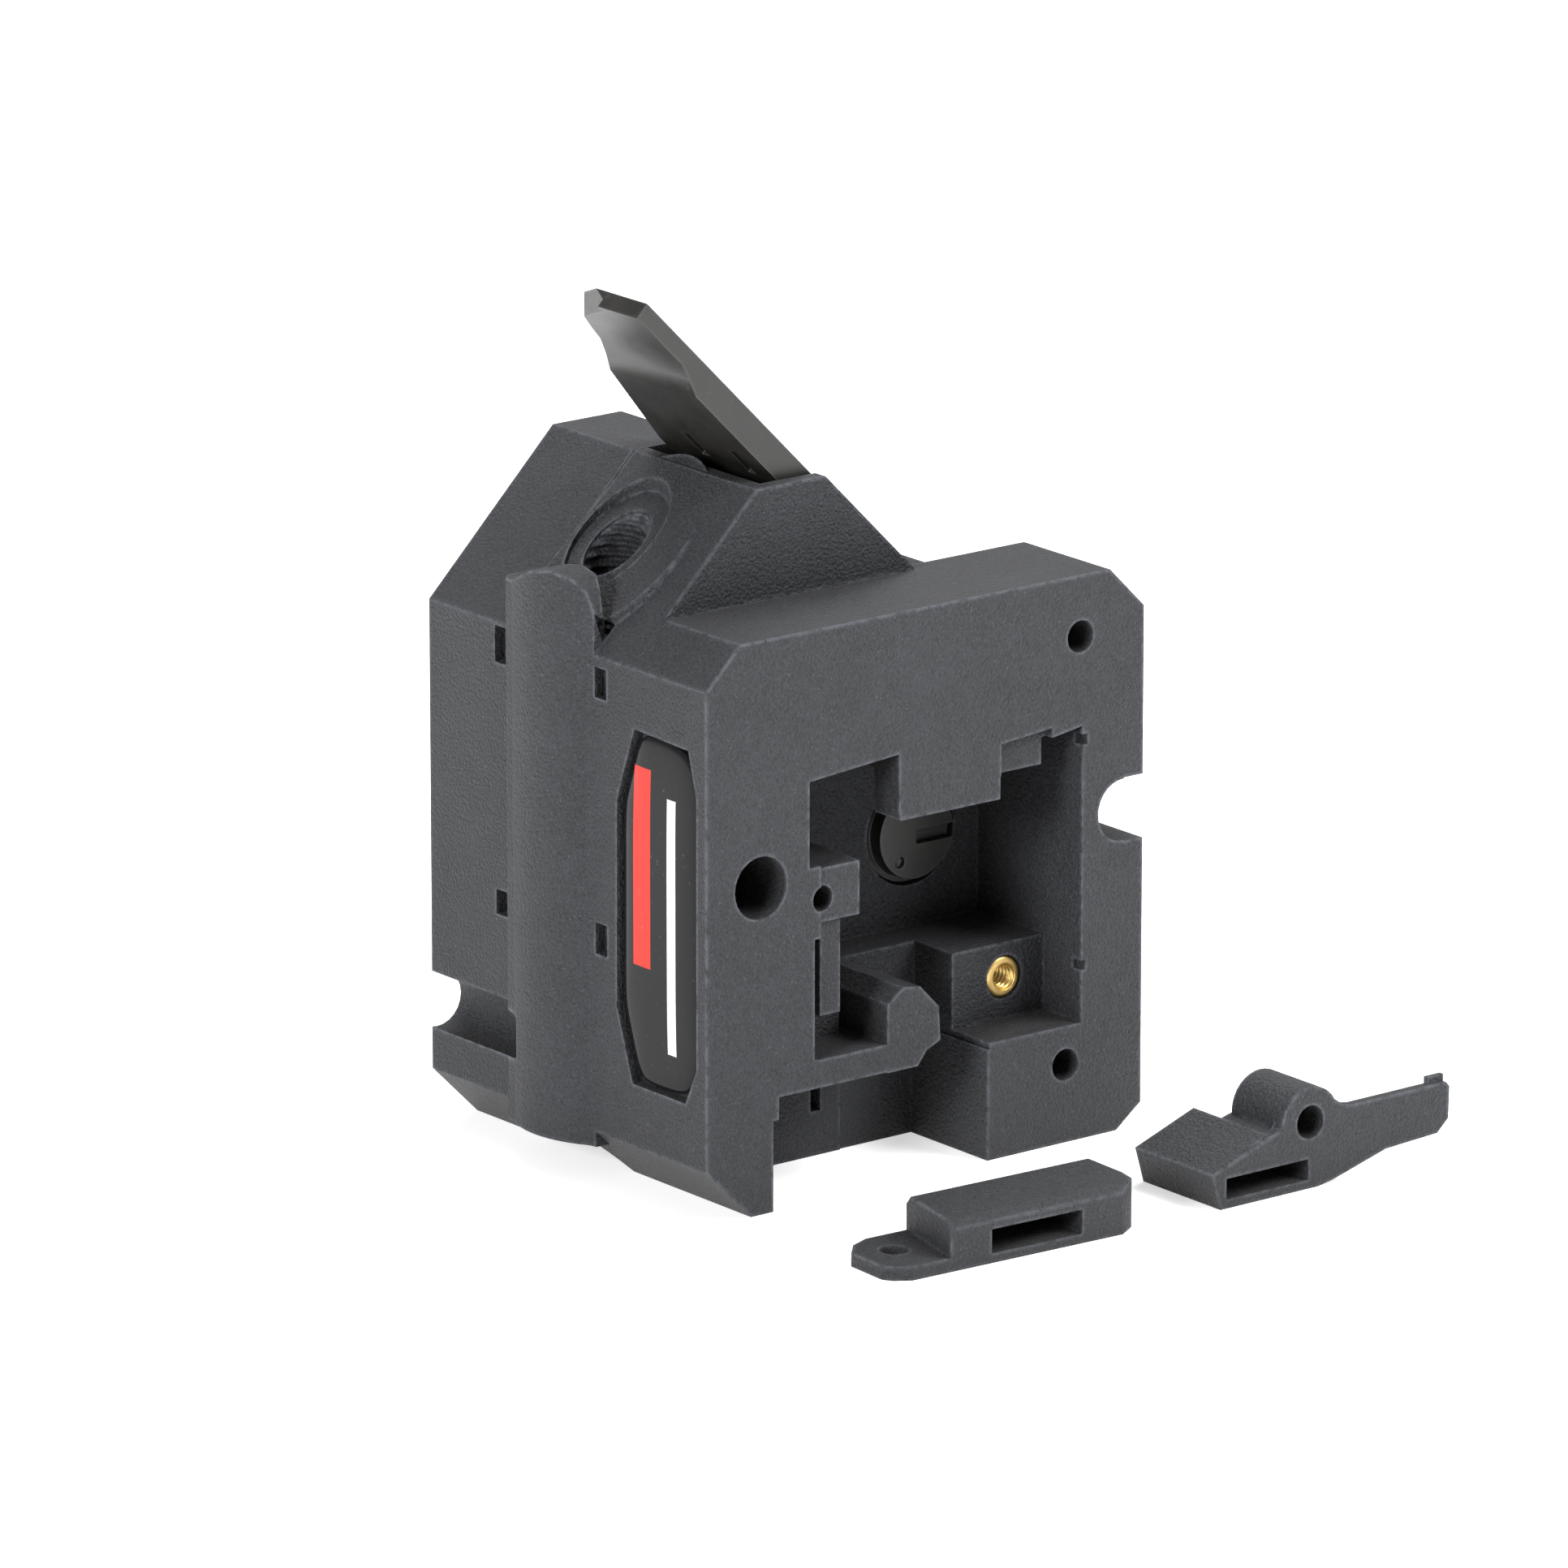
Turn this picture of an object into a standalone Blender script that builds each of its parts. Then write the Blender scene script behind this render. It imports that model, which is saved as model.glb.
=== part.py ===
"""Geared filament extruder: two-part housing, thumb idler lever, drive gears, preload cam,
and the two loose filament-sensor parts that go with it.

Working coordinates are millimetres from the lower front left corner of the housing:
X to the right, Y to the back, Z up. ORIGIN moves the finished part so that the world origin
lies on the flat underside.
"""
import math

import bmesh
import bpy
from mathutils import Matrix, Vector

MM = 0.001
ORIGIN = Vector((25.0, 20.0, 0.0))

# housing
SEAM_FRONT, SEAM_BACK = 28.7, 28.82
DEPTH = 40.9
PLATE_BACK = 12.3
BLOCK_FRONT = 10.8
PLATE = [(5.0, 0.0), (47.1, 0.0), (50.0, 2.2), (50.0, 49.1), (46.0, 53.1), (3.8, 53.1),
         (0.0, 49.34), (0.0, 5.0)]
BODY = [(5.0, 0.0), (47.1, 0.0), (50.0, 2.2), (50.0, 46.5), (38.8, 46.5), (21.9, 63.4),
        (14.1, 63.4), (0.0, 49.34), (0.0, 5.0)]
INCLINE_Z0 = 49.34
BULGE = (8.0, 22.9, 10.0)
BULGE_BOTTOM = 3.5
CROWN_RIM = [(14.0, 44.0), (15.2, 50.2), (16.3, 53.2), (17.2, 55.0), (18.3, 56.0), (20.5, 56.5),
             (23.0, 56.0), (26.0, 54.6), (28.7, 53.4), (30.0, 53.0), (30.0, 44.0)]
LIP_SLOPE, LIP_Z0 = 0.807, 50.44
EDGE_NOTCH = (47.7, 30.3)

# mechanism axes, each (x, z) on a line along Y
FILAMENT = (8.0, 23.35)
DRIVE = (11.4, 36.0)
IDLER = (4.6, 36.0)
HINGE = (30.0, 47.5)
CAM = (35.0, 27.1)
MODULE = 0.4
PINION_DISTANCE = 12.8
PINION_ANGLE = math.radians(-35.0)
PINION = (DRIVE[0] + PINION_DISTANCE * math.cos(PINION_ANGLE),
          DRIVE[1] + PINION_DISTANCE * math.sin(PINION_ANGLE))
DRIVE_TEETH, LARGE_TEETH, PINION_TEETH = 17, 48, 16
ADDENDUM, STUB_ADDENDUM, DEDENDUM = 0.92, 0.25, 1.2
MOTOR_HOLE_PITCH = 31.0
SPRING = (35.6, 20.0)
SCREWS = [(16.0, 56.5), (45.5, 41.5), (45.5, 5.5), (20.0, 5.5)]

# loose parts on the floor in front of the housing
HOLDER_CORNER = (-1.152, -22.88)
HOLDER_TURN = math.radians(-2.88)
LEVER_FRONT = -24.25


def clear_scene():
    for found in list(bpy.data.objects):
        bpy.data.objects.remove(found, do_unlink=True)


def make_object(name, bm):
    bmesh.ops.remove_doubles(bm, verts=bm.verts, dist=0.0005)
    bmesh.ops.recalc_face_normals(bm, faces=bm.faces)
    bmesh.ops.scale(bm, vec=(MM, MM, MM), verts=bm.verts)
    mesh = bpy.data.meshes.new(name)
    bm.to_mesh(mesh)
    bm.free()
    made = bpy.data.objects.new(name, mesh)
    bpy.context.scene.collection.objects.link(made)
    return made


def place(axis, u, v, w):
    """A point from two in-plane coordinates and a distance along the named axis."""
    if axis == "Y":
        return Vector((u, w, v)) - ORIGIN
    if axis == "X":
        return Vector((w, u, v)) - ORIGIN
    return Vector((u, v, w)) - ORIGIN


def prism(axis, outline, start, end, name="tool"):
    """A straight bar with the given outline, running along an axis."""
    bm = bmesh.new()
    low = [bm.verts.new(place(axis, u, v, start)) for u, v in outline]
    high = [bm.verts.new(place(axis, u, v, end)) for u, v in outline]
    bm.faces.new(low)
    bm.faces.new(list(reversed(high)))
    count = len(outline)
    for i in range(count):
        j = (i + 1) % count
        bm.faces.new((low[j], low[i], high[i], high[j]))
    return make_object(name, bm)


def circle(centre, radius, count=32, start=0.0):
    return [(centre[0] + radius * math.cos(start + math.tau * i / count),
             centre[1] + radius * math.sin(start + math.tau * i / count)) for i in range(count)]


def arc(centre, radius, begin, end, steps):
    """Points on an arc, angles in degrees."""
    points = []
    for i in range(steps + 1):
        angle = math.radians(begin + (end - begin) * i / steps)
        points.append((centre[0] + radius * math.cos(angle), centre[1] + radius * math.sin(angle)))
    return points


def rod(axis, centre, radius, start, end, count=32, name="tool"):
    return prism(axis, circle(centre, radius, count), start, end, name)


def box(x, y, z, name="tool"):
    return prism("Y", [(x[0], z[0]), (x[1], z[0]), (x[1], z[1]), (x[0], z[1])], y[0], y[1], name)


def turned(axis, centre, profile, count=32, name="tool"):
    """A ring-shaped solid from a closed profile of (radius, distance along the axis)."""
    bm = bmesh.new()
    rings = []
    for radius, along in profile:
        ring = []
        for u, v in circle(centre, radius, count):
            ring.append(bm.verts.new(place(axis, u, v, along)))
        rings.append(ring)
    for k in range(len(rings)):
        here, there = rings[k], rings[(k + 1) % len(rings)]
        for i in range(count):
            j = (i + 1) % count
            bm.faces.new((here[i], here[j], there[j], there[i]))
    return make_object(name, bm)


def combine(target, tool, how):
    modifier = target.modifiers.new("combine", "BOOLEAN")
    modifier.operation = how
    modifier.solver = "EXACT"
    modifier.object = tool
    bpy.context.view_layer.update()
    graph = bpy.context.evaluated_depsgraph_get()
    result = bpy.data.meshes.new_from_object(target.evaluated_get(graph))
    target.modifiers.clear()
    old = target.data
    target.data = result
    bpy.data.meshes.remove(old)
    bpy.data.objects.remove(tool, do_unlink=True)
    return target


def add(target, *tools):
    for tool in tools:
        combine(target, tool, "UNION")
    return target


def cut(target, *tools):
    for tool in tools:
        combine(target, tool, "DIFFERENCE")
    return target


def keep(target, tool):
    return combine(target, tool, "INTERSECT")


def material(name, colour, metallic, roughness):
    made = bpy.data.materials.new(name)
    made.use_nodes = True
    shader = made.node_tree.nodes["Principled BSDF"]
    shader.inputs["Base Color"].default_value = (*colour, 1.0)
    shader.inputs["Metallic"].default_value = metallic
    shader.inputs["Roughness"].default_value = roughness
    made.diffuse_color = (*colour, 1.0)
    return made


def nylon(name):
    return material(name, (0.055, 0.055, 0.06), 0.0, 0.85)


def moulded(name):
    return material(name, (0.03, 0.028, 0.027), 0.0, 0.38)


def steel(name):
    return material(name, (0.55, 0.56, 0.58), 1.0, 0.3)


def brass(name):
    return material(name, (0.83, 0.6, 0.22), 1.0, 0.25)


def finish(node, name, surface, pivot=None, round_angle=32.0):
    """Names a node, gives it its material and puts its origin on a pivot point."""
    node.name = name
    node.data.name = name
    node.data.materials.clear()
    node.data.materials.append(surface)
    tidy = bmesh.new()
    tidy.from_mesh(node.data)
    bmesh.ops.remove_doubles(tidy, verts=tidy.verts, dist=0.000002)
    bmesh.ops.dissolve_degenerate(tidy, edges=tidy.edges, dist=0.000001)
    tidy.to_mesh(node.data)
    tidy.free()
    for face in node.data.polygons:
        face.material_index = 0
        face.use_smooth = True
    node.data.set_sharp_from_angle(angle=math.radians(round_angle))
    if pivot is not None:
        spot = (Vector(pivot) - ORIGIN) * MM
        node.data.transform(Matrix.Translation(-spot))
        node.location = spot
    return node


def above_incline(offset, y0=0.0, y1=45.0):
    """Everything above the sloping left roof, raised by an offset."""
    base = INCLINE_Z0 + offset
    return prism("Y", [(-8.0, base - 8.0), (32.0, base + 32.0), (-8.0, base + 40.0)], y0, y1)


def above_lip(offset, radius):
    """The round space over the inlet's lip, whose plane is a little flatter than the roof."""
    x0, x1 = -12.0, 32.0
    base = LIP_Z0 + offset
    space = prism("Y", [(x0, base + LIP_SLOPE * x0), (x1, base + LIP_SLOPE * x1), (x1, 90.0),
                        (x0, 90.0)], 0.0, 45.0)
    return keep(space, rod("Z", FILAMENT, radius, 30.0, 88.0, 40))


def bulge_column():
    """The rounded column that swells out of the left side, with a flat crown over the roof."""
    x, y, r = BULGE
    fillet = 2.0
    reach = math.sqrt((r + fillet) ** 2 - (x + fillet) ** 2)
    meet = math.degrees(math.atan2(reach, -(x + fillet)))
    outline = [(9.0, y - reach), (0.3, y - reach)]
    outline += arc((-fillet, y - reach), fillet, 0.0, 180.0 - meet, 4)
    outline += arc((x, y), r, 360.0 - meet, 156.0, 14)
    outline += [(-1.0, 28.0), (-0.6, 28.5), (-0.1, SEAM_FRONT), (9.0, SEAM_FRONT)]
    column = prism("Z", outline, BULGE_BOTTOM, 58.0)
    crown = prism("X", CROWN_RIM, -8.0, 1.9)
    keep(crown, prism("Z", [(-8.0, 12.0), (0.95, 12.0), (0.95, 16.2), (1.9, 18.4), (4.0, 30.0),
                            (-8.0, 30.0)], 40.0, 60.0))
    saddle = prism("Z", [(-2.0, 18.6), (1.6, 18.6), (3.5, 21.5), (5.4, 30.0), (-2.0, 30.0)],
                   40.0, 54.2)
    above = cut(above_incline(0.0), crown, saddle)
    return cut(column, above)


def port_collar():
    """The raised lip around the threaded inlet and the low round shoulder outside it."""
    collar = rod("Z", FILAMENT, 4.1, 46.0, 70.0, 36)
    cut(collar, above_lip(0.0, 10.0))
    shoulder = rod("Z", (7.6, 21.9), 7.7, 44.0, 70.0, 56)
    top = prism("Y", [(-6.0, 45.4), (2.0, 52.4), (12.6, 61.75), (24.0, 71.7), (-6.0, 80.0)], 0.0, 45.0)
    cut(shoulder, top, box((-9.0, 30.0), (SEAM_FRONT, 40.0), (40.0, 72.0)))
    return add(shoulder, collar)


def hotend_bore():
    return rod("Z", FILAMENT, 6.85, -1.0, 13.0, 40)


def side_groove(start, end):
    """A half-round channel along the left side near the bottom, drifting down to the front."""
    groove = rod("Y", (0.55, 11.6), 2.7, start, end, 24)
    return groove


def tie_slots():
    slots = []
    for z0, z1 in ((45.5, 48.3), (21.7, 24.6)):
        slots.append(box((-3.0, 1.1), (14.5, 16.2), (z0, z1)))
    return slots


def badge_outline(shrink):
    outline = [(10.4, 43.8), (2.6, 43.5), (1.45, 39.3), (1.5, 14.2), (3.1, 10.8), (10.8, 10.8),
               (13.1, 17.5), (13.0, 36.7)]
    middle = (7.2, 27.3)
    moved = []
    for y, z in outline:
        dy, dz = y - middle[0], z - middle[1]
        moved.append((middle[0] + dy * (1.0 - shrink / 5.5), middle[1] + dz * (1.0 - shrink / 16.0)))
    return moved


def pocket_cutters():
    """The stepped window in the front face."""
    window = [(12.9, 18.2), (42.9, 18.2), (42.9, 39.0), (38.9, 38.4), (38.9, 35.9), (33.4, 35.9),
              (33.4, 33.8), (22.0, 33.8), (21.8, 34.4), (21.8, 40.0), (11.6, 39.2), (11.6, 31.2),
              (12.9, 31.2)]
    behind_lip = [(21.0, 33.0), (39.5, 33.0), (39.5, 38.0), (21.0, 38.0)]
    cutters = [
        prism("Y", window, -1.0, 15.0),
        prism("Y", behind_lip, 3.7, 15.0),
        prism("Y", [(33.5, 35.5), (39.4, 35.5), (39.4, 39.4), (33.5, 38.9)], -1.0, 1.0),
        box((38.7, 42.9), (1.6, 15.0), (35.0, 38.4)),
        box((42.0, 43.5), (-1.0, 1.2), (37.2, 38.2)),
        box((42.0, 43.4), (-1.0, 1.2), (16.0, 16.9)),
        box((32.3, 42.9), (-1.0, 5.5), (11.05, 19.0)),
        box((20.6, 32.3), (-1.0, 10.9), (10.5, 19.0)),
        box((12.6, 19.3), (-1.0, 5.4), (13.2, 19.0)),
        box((19.2, 21.0), (-1.0, 10.9), (13.2, 19.0)),
        box((12.2, 13.2), (-1.0, 9.0), (13.3, 24.5)),
    ]
    return cutters


def pocket_inserts():
    """What stands inside the window: corner block, pillar and hook."""
    corner = box((11.0, 17.5), (0.3, 15.4), (25.9, 30.9))
    pillar = box((13.4, 15.7), (0.8, 15.4), (17.0, 26.4))
    hook = prism("Y", [(20.5, 10.5), (24.0, 10.5), (25.0, 11.8), (26.6, 12.5), (26.4, 15.7),
                       (24.25, 17.95), (22.3, 18.2), (20.5, 16.9)], 0.0, 11.4)
    beam = box((12.0, 21.0), (0.0, 11.4), (10.6, 13.2))
    return [corner, pillar, hook, beam]


def idler_cavity():
    """Room inside the front half for the gear pair, the lever yoke and the guide column."""
    room = prism("Y", [(1.2, 30.8), (16.0, 30.8), (16.0, 41.0), (25.4, 42.4), (25.4, 52.8),
                       (4.5, 50.0), (1.2, 46.2)], 18.5, SEAM_FRONT + 0.6)
    side = rod("Z", BULGE[:2], 9.0, 30.8, 43.5, 40)
    keep(side, box((-3.0, 1.9), (18.5, SEAM_FRONT + 0.6), (30.0, 44.0)))
    add(room, side)
    cut(room, rod("Z", FILAMENT, 2.6, 43.0, 54.0, 24))
    return room


def lever_channel():
    """The opening through the top and the right slope in which the lever swings."""
    return prism("Y", [(15.6, 70.0), (15.6, 62.6), (23.9, 54.4), (25.0, 52.4), (25.0, 42.5),
                       (41.0, 42.5), (41.0, 70.0)], PLATE_BACK, SEAM_FRONT + 0.6)


def front_shell():
    shell = prism("Y", PLATE, 0.0, PLATE_BACK)
    add(shell, prism("Y", BODY, BLOCK_FRONT, SEAM_FRONT), bulge_column(), port_collar())
    cut(shell, box((8.15, 32.1), (-1.0, 10.9), (-1.0, 10.6)),
        box((7.5, 9.0), (-1.0, 10.0), (-1.0, 8.5)),
        box((23.7, 32.1), (10.0, 11.1), (-1.0, 10.6)),
        box((20.3, 21.4), (10.0, 14.0), (4.2, 6.6)))
    cut(shell, *pocket_cutters())
    add(shell, *pocket_inserts())
    cut(shell, rod("Y", (13.2, 28.1), 1.2, -1.0, 9.0, 20),
        rod("Y", (42.6, 47.4), 1.5, -1.0, 13.0, 24),
        rod("Y", (41.1, 7.4), 1.5, -1.0, 14.0, 24),
        rod("Y", (6.1, 30.4), 2.9, -1.0, 13.5, 28),
        rod("Y", EDGE_NOTCH, 2.9, -1.0, 32.0, 28),
        box((47.8, 53.0), (-1.0, 32.0), (27.3, 33.3)),
        rod("Y", (38.4, 14.9), 2.05, 5.0, 11.5, 24))
    cut(shell, prism("X", badge_outline(0.0), -3.0, 1.2), *tie_slots())
    cut(shell, side_groove(26.2, 32.0), hotend_bore(),
        rod("Z", FILAMENT, 3.05, 52.0, 66.0, 32), above_lip(0.0, 4.8),
        rod("Z", FILAMENT, 1.1, 42.0, 53.0, 16),
        rod("Z", FILAMENT, 2.1, 12.0, 32.0, 24))
    cut(shell, idler_cavity(), lever_channel())
    cut(shell, rod("Y", CAM, 5.05, 14.0, 17.0, 40),
        box((28.2, 41.6), (16.4, SEAM_FRONT + 0.6), (20.2, 43.2)),
        rod("Y", DRIVE, 4.15, 16.3, 19.0, 32),
        rod("Y", PINION, 4.15, 25.9, SEAM_FRONT + 0.6, 32),
        rod("Y", HINGE, 1.7, 11.4, 13.0, 20))
    for spot in SCREWS:
        cut(shell, rod("Y", spot, 1.6, 19.0, SEAM_FRONT + 0.6, 16))
    return finish(shell, "front_shell", nylon("nylon_front"))


def rear_shell():
    shell = prism("Y", BODY, SEAM_BACK, DEPTH)
    chamber = rod("Y", DRIVE, 10.5, SEAM_BACK - 0.6, 33.8, 48)
    add(chamber, rod("Y", PINION, 4.5, SEAM_BACK - 0.6, 33.8, 32))
    cut(shell, chamber,
        rod("Y", DRIVE, 4.15, 33.0, 36.3, 32),
        rod("Y", PINION, 5.0, 33.0, 40.0, 32),
        rod("Y", PINION, 11.1, 38.4, 42.0, 56),
        rod("Y", CAM, 3.3, SEAM_BACK - 0.6, 31.0, 24),
        rod("Y", HINGE, 1.7, SEAM_BACK - 0.6, 31.2, 20),
        rod("Y", EDGE_NOTCH, 2.9, 20.0, 42.0, 28),
        box((47.8, 53.0), (20.0, 42.0), (27.3, 33.3)),
        side_groove(24.0, 45.0))
    bore = hotend_bore()
    cut(shell, bore)
    half = MOTOR_HOLE_PITCH / 2
    for sx in (-half, half):
        for sz in (-half, half):
            cut(shell, rod("Y", (PINION[0] + sx, PINION[1] + sz), 1.6, 37.0, 42.0, 20))
    for z0, z1 in ((45.6, 49.0), (22.0, 24.3)):
        cut(shell, box((-3.0, 1.2), (27.0, 31.0), (z0, z1)))
    for spot in SCREWS:
        cut(shell, rod("Y", spot, 1.6, 28.0, 42.0, 16), rod("Y", spot, 3.0, 37.9, 42.0, 24))
    return finish(shell, "rear_shell", nylon("nylon_rear"))


def side_badge():
    """A plain glossy domed plate, blank."""
    plate = prism("X", badge_outline(0.25), 0.15, 1.1)
    return finish(plate, "side_badge", material("gloss_badge", (0.01, 0.01, 0.012), 0.0, 0.08))


def threaded_insert():
    profile = [(1.25, 5.55), (1.6, 5.55), (1.95, 5.8), (1.95, 7.4), (1.75, 7.6), (1.75, 8.2),
               (1.95, 8.4), (1.95, 10.4), (1.25, 10.4)]
    return finish(turned("Y", (38.4, 14.9), profile, 32), "threaded_insert", brass("insert_brass"))


def outlet_tube():
    profile = [(1.05, 14.4), (1.9, 14.4), (1.9, 31.4), (1.5, 31.8), (1.05, 31.8)]
    white = material("ptfe_white", (0.8, 0.8, 0.78), 0.0, 0.4)
    return finish(turned("Z", FILAMENT, profile, 24), "outlet_tube", white)


def ball_bearing(centre, start, end, name):
    """A shielded bearing as one ring with recessed side shields."""
    mid_in, mid_out, deep = 2.75, 3.45, 0.12
    profile = [(2.2, start), (mid_in, start), (mid_in, start + deep), (mid_out, start + deep),
               (mid_out, start), (3.95, start), (3.95, end), (mid_out, end),
               (mid_out, end - deep), (mid_in, end - deep), (mid_in, end), (2.2, end)]
    return finish(turned("Y", centre, profile, 32), name, steel(name + "_steel"))


def tooth_outline(centre, teeth, phase, addendum=ADDENDUM):
    """A gear outline with straight flanks; a tooth points along the phase angle."""
    pitch = MODULE * teeth / 2
    tip, root = pitch + MODULE * addendum, pitch - MODULE * DEDENDUM
    step = math.tau / teeth
    points = []
    for i in range(teeth):
        middle = phase + i * step
        for radius, share in ((root, -0.3), (tip, -0.09), (tip, 0.09), (root, 0.3)):
            angle = middle + share * step
            points.append((centre[0] + radius * math.cos(angle),
                           centre[1] + radius * math.sin(angle)))
    return points


def hob(centre, start, end, count=34):
    """The grooved filament wheel section, as a plain solid of revolution."""
    mid = FILAMENT[1]
    profile = [(0.3, start - 0.6), (2.6, start - 0.6), (2.6, start + 0.15), (3.3, start + 0.15),
               (3.3, mid - 0.95), (2.75, mid - 0.45),
               (2.6, mid), (2.75, mid + 0.45), (3.3, mid + 0.95), (3.3, end), (0.3, end)]
    return turned("Y", centre, profile, count)


def gear_wheel(centre, phase, hub_end, hub_radius):
    outline = tooth_outline(centre, DRIVE_TEETH, phase, STUB_ADDENDUM)
    wheel = prism("Y", outline, 20.5, 22.0)
    add(wheel, hob(centre, 22.0, 24.9))
    add(wheel, rod("Y", centre, hub_radius, 24.7, hub_end, 34))
    return wheel


def drive_gear():
    wheel = gear_wheel(DRIVE, math.pi, 28.2, 3.5)
    cut(wheel, rod("Y", DRIVE, 2.05, 18.0, 30.0, 24))
    cut(wheel, rod("Z", (DRIVE[0], 26.5), 1.05, DRIVE[1] + 1.0, DRIVE[1] + 6.0, 16))
    return finish(wheel, "drive_gear", steel("gear_steel"), (DRIVE[0], 22.0, DRIVE[1]))


def drive_gear_set_screw():
    spot = (DRIVE[0], 26.5)
    screw = rod("Z", spot, 0.95, DRIVE[1] + 2.1, DRIVE[1] + 3.6, 16)
    cut(screw, rod("Z", spot, 0.5, DRIVE[1] + 2.9, DRIVE[1] + 4.5, 6))
    dark = material("oxide_steel", (0.04, 0.04, 0.045), 1.0, 0.4)
    return finish(screw, "drive_gear_set_screw", dark, (DRIVE[0], 26.5, DRIVE[1]))


def idler_gear():
    wheel = gear_wheel(IDLER, math.pi / DRIVE_TEETH, 26.3, 2.8)
    cut(wheel, rod("Y", IDLER, 2.0, 18.0, 30.0, 24))
    return finish(wheel, "idler_gear", steel("idler_steel"), (IDLER[0], 22.0, IDLER[1]))


def idler_bush():
    profile = [(1.2, 20.5), (1.8, 20.5), (1.8, 26.3), (1.2, 26.3)]
    pivot = (IDLER[0], 22.0, IDLER[1])
    return finish(turned("Y", IDLER, profile, 24), "idler_bush", brass("bush_bronze"), pivot)


def idler_axle():
    pin = rod("Y", IDLER, 1.0, 18.75, 28.15, 20)
    return finish(pin, "idler_axle", steel("axle_steel"), (IDLER[0], 22.0, IDLER[1]))


def drive_shaft():
    shaft = rod("Y", DRIVE, 1.95, 16.7, 36.0, 24)
    return finish(shaft, "drive_shaft", steel("shaft_steel"), (DRIVE[0], 22.0, DRIVE[1]))


def large_gear():
    """Moulded reduction gear with a recessed web and six lightening holes."""
    phase = PINION_ANGLE
    wheel = prism("Y", tooth_outline(DRIVE, LARGE_TEETH, phase), 29.6, 33.4)
    web = turned("Y", DRIVE, [(3.4, 28.0), (8.0, 28.0), (8.0, 30.5), (3.4, 30.5)], 40)
    cut(wheel, web)
    for i in range(6):
        spot = arc(DRIVE, 5.8, 60.0 * i, 60.0 * i, 1)[0]
        cut(wheel, rod("Y", spot, 1.5, 28.0, 35.0, 16))
    cut(wheel, rod("Y", DRIVE, 2.05, 28.0, 35.0, 24))
    white = material("gear_nylon", (0.75, 0.74, 0.7), 0.0, 0.5)
    return finish(wheel, "large_gear", white, (DRIVE[0], 31.5, DRIVE[1]))


def input_pinion():
    """Steel pinion with a solid nose for its bearing and a socket for the motor shaft."""
    phase = PINION_ANGLE + math.pi + math.pi / PINION_TEETH
    pinion = prism("Y", tooth_outline(PINION, PINION_TEETH, phase), 29.6, 34.0)
    add(pinion, rod("Y", PINION, 1.95, 26.3, 30.0, 24), rod("Y", PINION, 3.7, 33.8, 37.8, 32))
    cut(pinion, rod("Y", PINION, 2.5, 31.0, 39.0, 28))
    return finish(pinion, "input_pinion", steel("pinion_steel"), (PINION[0], 31.5, PINION[1]))


def thumb_lever():
    """Finger tab, hinge hub, heel for the spring and the two yoke cheeks."""
    side = [(3.2, 81.75), (38.2, 46.75), (39.6, 45.35), (39.6, 43.8), (31.0, 43.4), (27.0, 44.6),
            (26.2, 47.6), (25.8, 55.2), (8.6, 72.4), (7.9, 74.1), (7.0, 75.65), (5.5, 77.1),
            (3.6, 79.1), (2.0, 80.55)]
    lever = prism("Y", side, 12.5, 28.5)
    taper = prism("Z", [(16.9, 28.55), (1.8, 22.2), (-5.0, 22.2), (-5.0, 35.0), (16.9, 35.0)],
                  60.0, 90.0)
    nose = prism("Z", [(2.6, 18.2), (4.6, 24.0), (-5.0, 24.0), (-5.0, 18.2)], 70.0, 90.0)
    cut(lever, taper, nose)
    for x, y in ((14.8, 21.6), (15.3, 15.5)):
        low = [(x - 1.0, 80.0 - x), (x + 1.4, 77.6 - x), (x + 3.4, 79.6 - x), (x + 1.0, 82.0 - x)]
        cut(lever, prism("Y", low, y, y + 1.1))
    yoke = [(2.2, 36.0), (2.2, 42.5), (6.0, 46.4), (24.0, 49.5), (29.0, 50.5), (31.0, 45.0),
            (28.0, 43.7), (24.0, 44.0), (9.6, 42.0), (7.2, 39.2)]
    yoke += arc(IDLER, 2.4, 0.0, -180.0, 10)[:-1]
    for y0, y1 in ((18.8, 20.2), (26.6, 28.0)):
        add(lever, prism("Y", yoke, y0, y1))
    cut(lever, rod("Y", HINGE, 1.7, 10.0, 30.0, 24), rod("Y", IDLER, 1.15, 10.0, 30.0, 20),
        rod("Z", SPRING, 3.2, 42.0, 45.0, 28))
    pivot = (HINGE[0], 20.0, HINGE[1])
    return finish(lever, "thumb_lever", moulded("moulded_lever"), pivot)


def lever_pivot_pin():
    pin = rod("Y", HINGE, 1.5, 11.7, 30.9, 24)
    return finish(pin, "lever_pivot_pin", steel("pin_steel"), (HINGE[0], 20.0, HINGE[1]))


def cam_lobe():
    """A spiral whose radius rises evenly, seen from the front."""
    low, high, rise, steps = 5.0, 6.4, 200.0, 26
    points = []
    for i in range(steps + 1):
        share = i / steps
        angle = math.radians(90.0 - 12.0 + rise * share)
        radius = low + (high - low) * share
        points.append((CAM[0] + radius * math.cos(angle), CAM[1] + radius * math.sin(angle)))
    points += arc(CAM, low, 78.0 + rise + 12.0, 78.0 + 348.0, 10)
    return prism("Y", points, 17.2, 22.0)


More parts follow.
